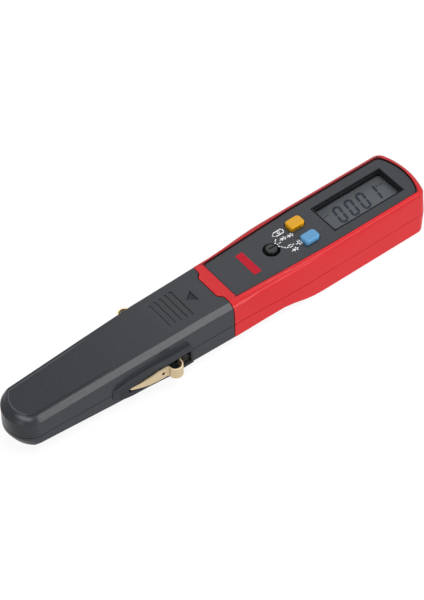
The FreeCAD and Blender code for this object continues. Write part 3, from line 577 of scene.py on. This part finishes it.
def frame_strokes(x0, x1, y0, y1, width):
    """The four sides of an upright rectangle."""
    return [stroke((x0, y0), (x1, y0), width), stroke((x0, y1), (x1, y1), width),
            stroke((x0, y0), (x0, y1), width), stroke((x1, y0), (x1, y1), width)]


# Seven-segment figures, of which only 0 and 1 are shown
DIGIT_HALF_WIDTH, DIGIT_HALF_HEIGHT = 1.30, 3.60
DIGIT_LINE, DIGIT_GAP, DIGIT_SLANT = 1.05, 0.03, 0.155
DIGIT_PITCH = 5.3
# Each segment's ends, as shares of the half width and half height
SEGMENT_ENDS = {
    "a": ((-1, 1), (1, 1)), "b": ((1, 0), (1, 1)), "c": ((1, -1), (1, 0)),
    "d": ((-1, -1), (1, -1)), "e": ((-1, -1), (-1, 0)), "f": ((-1, 0), (-1, 1)),
}
ZERO, ONE = "abcdef", "bc"


def digit_outlines(centre_x, centre_y, lit):
    """Slanted figure as hexagonal plates; lit is a string of segment letters."""
    t = DIGIT_LINE / 2
    outlines = []
    for letter in lit:
        (x0, y0), (x1, y1) = [(x * DIGIT_HALF_WIDTH, y * DIGIT_HALF_HEIGHT)
                              for x, y in SEGMENT_ENDS[letter]]
        length = math.hypot(x1 - x0, y1 - y0)
        ux, uy = (x1 - x0) / length, (y1 - y0) / length
        near, far = DIGIT_GAP, length - DIGIT_GAP
        shape = []
        for along, across in ((near, 0), (near + t, -t), (far - t, -t), (far, 0),
                              (far - t, t), (near + t, t)):
            x = x0 + ux * along - uy * across
            y = y0 + uy * along + ux * across
            shape.append((centre_x + x + DIGIT_SLANT * y, centre_y + y))
        outlines.append(shape)
    return outlines


def window_limits():
    """Ends and half width of the window, which is the opening inside the display frame."""
    low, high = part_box("display_frame")
    wall = 1.4
    return low.x / MM + wall, high.x / MM - wall, high.y / MM - wall


def panel_top():
    """Height of the panel's face, in metres."""
    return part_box("control_panel")[1].z


def add_display(finishes):
    """The lit field just over the glass, and a reading of plain figures on it."""
    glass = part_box("display_glass")[1].z
    x0, x1, half = window_limits()
    # The field reaches under the window's edge
    x0, x1, half = x0 - 0.5, x1 + 0.5, half + 0.4
    field = [(x0, -half), (x1, -half), (x1, half), (x0, half)]
    plate_piece("display_field", [field], glass + 0.02 * MM, 0.03, "case",
                finishes["display"].material)
    first_x, middle_y = 56.1, 0.5
    outlines = []
    for i, lit in enumerate((ZERO, ZERO, ZERO, ONE)):
        outlines += digit_outlines(first_x + DIGIT_PITCH * i, middle_y, lit)
    # A minus sign before the figures, and two small marks after them
    outlines += [stroke((50.7, 2.9), (52.5, 2.9), 0.35), stroke((75.1, 2.7), (75.1, 3.4), 0.4),
                 stroke((76.1, 2.9), (77.3, 2.9), 0.4)]
    plate_piece("display_segments", outlines, glass + 0.05 * MM, 0.03, "case",
                finishes["segments"].material)


def add_window_edge(finishes):
    """Thin black line of painted shade on the panel round the window, along the lip of its opening.
    """
    x0, x1, half = window_limits()
    # The line's middle is outside the opening in front and on the near side, and inside behind
    # and on the far side
    border = frame_strokes(x0 - 0.4, x1 - 0.2, -half - 0.25, half - 0.3, 0.5)
    # The line is painted shade, drawn with the black ink finish
    plate_piece("window_edge", border, panel_top(), 0.02, "case",
                finishes["ink_black"].material)


LEGEND_LINE, LEGEND_THIN = 0.40, 0.32


def leads(x, y, body, before, after):
    """Thin wires before and after a symbol's body, all three measured along x from its middle."""
    return [stroke((x - before, y), (x - body, y), LEGEND_THIN),
            stroke((x + body, y), (x + after, y), LEGEND_THIN)]


def upright(x, y, half):
    """Line along y with its middle at (x, y)."""
    return stroke((x, y - half), (x, y + half), LEGEND_LINE)


def stop_marks():
    """Dot for each of the knob's three stops, and a short lead toward its symbols."""
    shapes = []
    for points in (((28.2, 2.2), (28.9, 2.9)), ((28.7, 0.7), (29.4, 0.7)),
                   ((28.2, -0.9), (28.6, -1.7), (29.1, -2.3))):
        shapes += [stroke(a, b, LEGEND_THIN) for a, b in zip(points, points[1:])]
    radius, corners = 0.3, 8
    for x, y in ((27.6, 1.6), (27.9, 0.6), (27.7, -0.4)):
        turns = [0.785 * i for i in range(corners)]
        shapes.append([(x + radius * math.cos(a), y + radius * math.sin(a)) for a in turns])
    return shapes


def cell_symbol(x0, x1, y0, y1):
    """Cell with its cap before x0, and a plus sign in it."""
    x, y = (x0 + x1) / 2, (y0 + y1) / 2
    return (frame_strokes(x0, x1, y0, y1, LEGEND_LINE)
            + frame_strokes(x0 - 0.75, x0, y - 0.35, y + 0.35, LEGEND_LINE)
            + [stroke((x - 0.5, y), (x + 0.5, y), LEGEND_LINE), upright(x, y, 0.5)])


def diode_symbol(x, y):
    body = 0.65
    triangle = [(x - body, y - 0.8), (x + 0.45, y), (x - body, y + 0.8)]
    return [triangle, upright(x + body, y, 0.65)] + leads(x, y, body, 1.2, 1.25)


def resistor_symbol(x, y):
    body = 0.85
    return (frame_strokes(x - body, x + body, y - 0.5, y + 0.5, LEGEND_THIN)
            + leads(x, y, body, 1.5, 1.5))


def capacitor_symbol(x, y):
    body = 0.38
    return [upright(x - body, y, 0.85), upright(x + body, y, 0.85)] + leads(x, y, body, 1.3, 1.3)


def add_legend(finishes):
    """Range marks beside the knob: three stops, and plain symbols for what each one tests."""
    shapes = stop_marks() + cell_symbol(29.7, 33.5, 3.8, 5.7)
    for x, y in ((31.0, 1.6), (33.9, 1.2), (31.2, -5.0)):
        shapes += diode_symbol(x, y)
    shapes += resistor_symbol(31.0, -2.7) + capacitor_symbol(34.5, -3.4)
    plate_piece("range_legend", shapes, panel_top(), 0.03, "case",
                finishes["ink_white"].material)


def add_badge(finishes):
    """Plain red label on the panel, between the arrow and the knob."""
    x0, x1, half, radius, steps = 13.0, 16.1, 5.5, 0.2, 4
    left, right, side = x0 + radius, x1 - radius, half - radius
    outline = []
    corners = ((right, side, 0), (left, side, 90), (left, -side, 180), (right, -side, 270))
    for x, y, start in corners:
        for i in range(steps + 1):
            a = math.radians(start + 90 / steps * i)
            outline.append((x + radius * math.cos(a), y + radius * math.sin(a)))
    plate_piece("panel_badge", [outline], panel_top(), 0.05, "case",
                finishes["badge_red"].material)


add_camera()
add_world(ambient=0.30)
add_floor(glow=1.29, share=0.7)
add_lamp("key", place=(0.10, -0.20, 0.85), aim=(0, 0, 0), size=(0.6, 0.6), watts=4.3)
add_lamp("sheen", place=(0.195, 0.24, 0.34), aim=(0.02, 0, 0.02), size=(0.2, 0.2), watts=0.25)
add_lamp("side_strip", place=(0.26, -0.80, 0.10), aim=(-0.02, 0, 0.01), size=(0.45, 0.14),
         watts=4.2)
add_lamp("front_strip", place=(-0.73, -0.16, 0.465), aim=(-0.08, 0, 0.02), size=(0.22, 0.22),
         watts=1.0)
finishes = make_finishes()
paint_nodes(finishes)
soften(EDGE_WIDTHS)
add_display(finishes)
add_window_edge(finishes)
add_legend(finishes)
add_badge(finishes)
bpy.context.scene.view_settings.view_transform = "Standard"
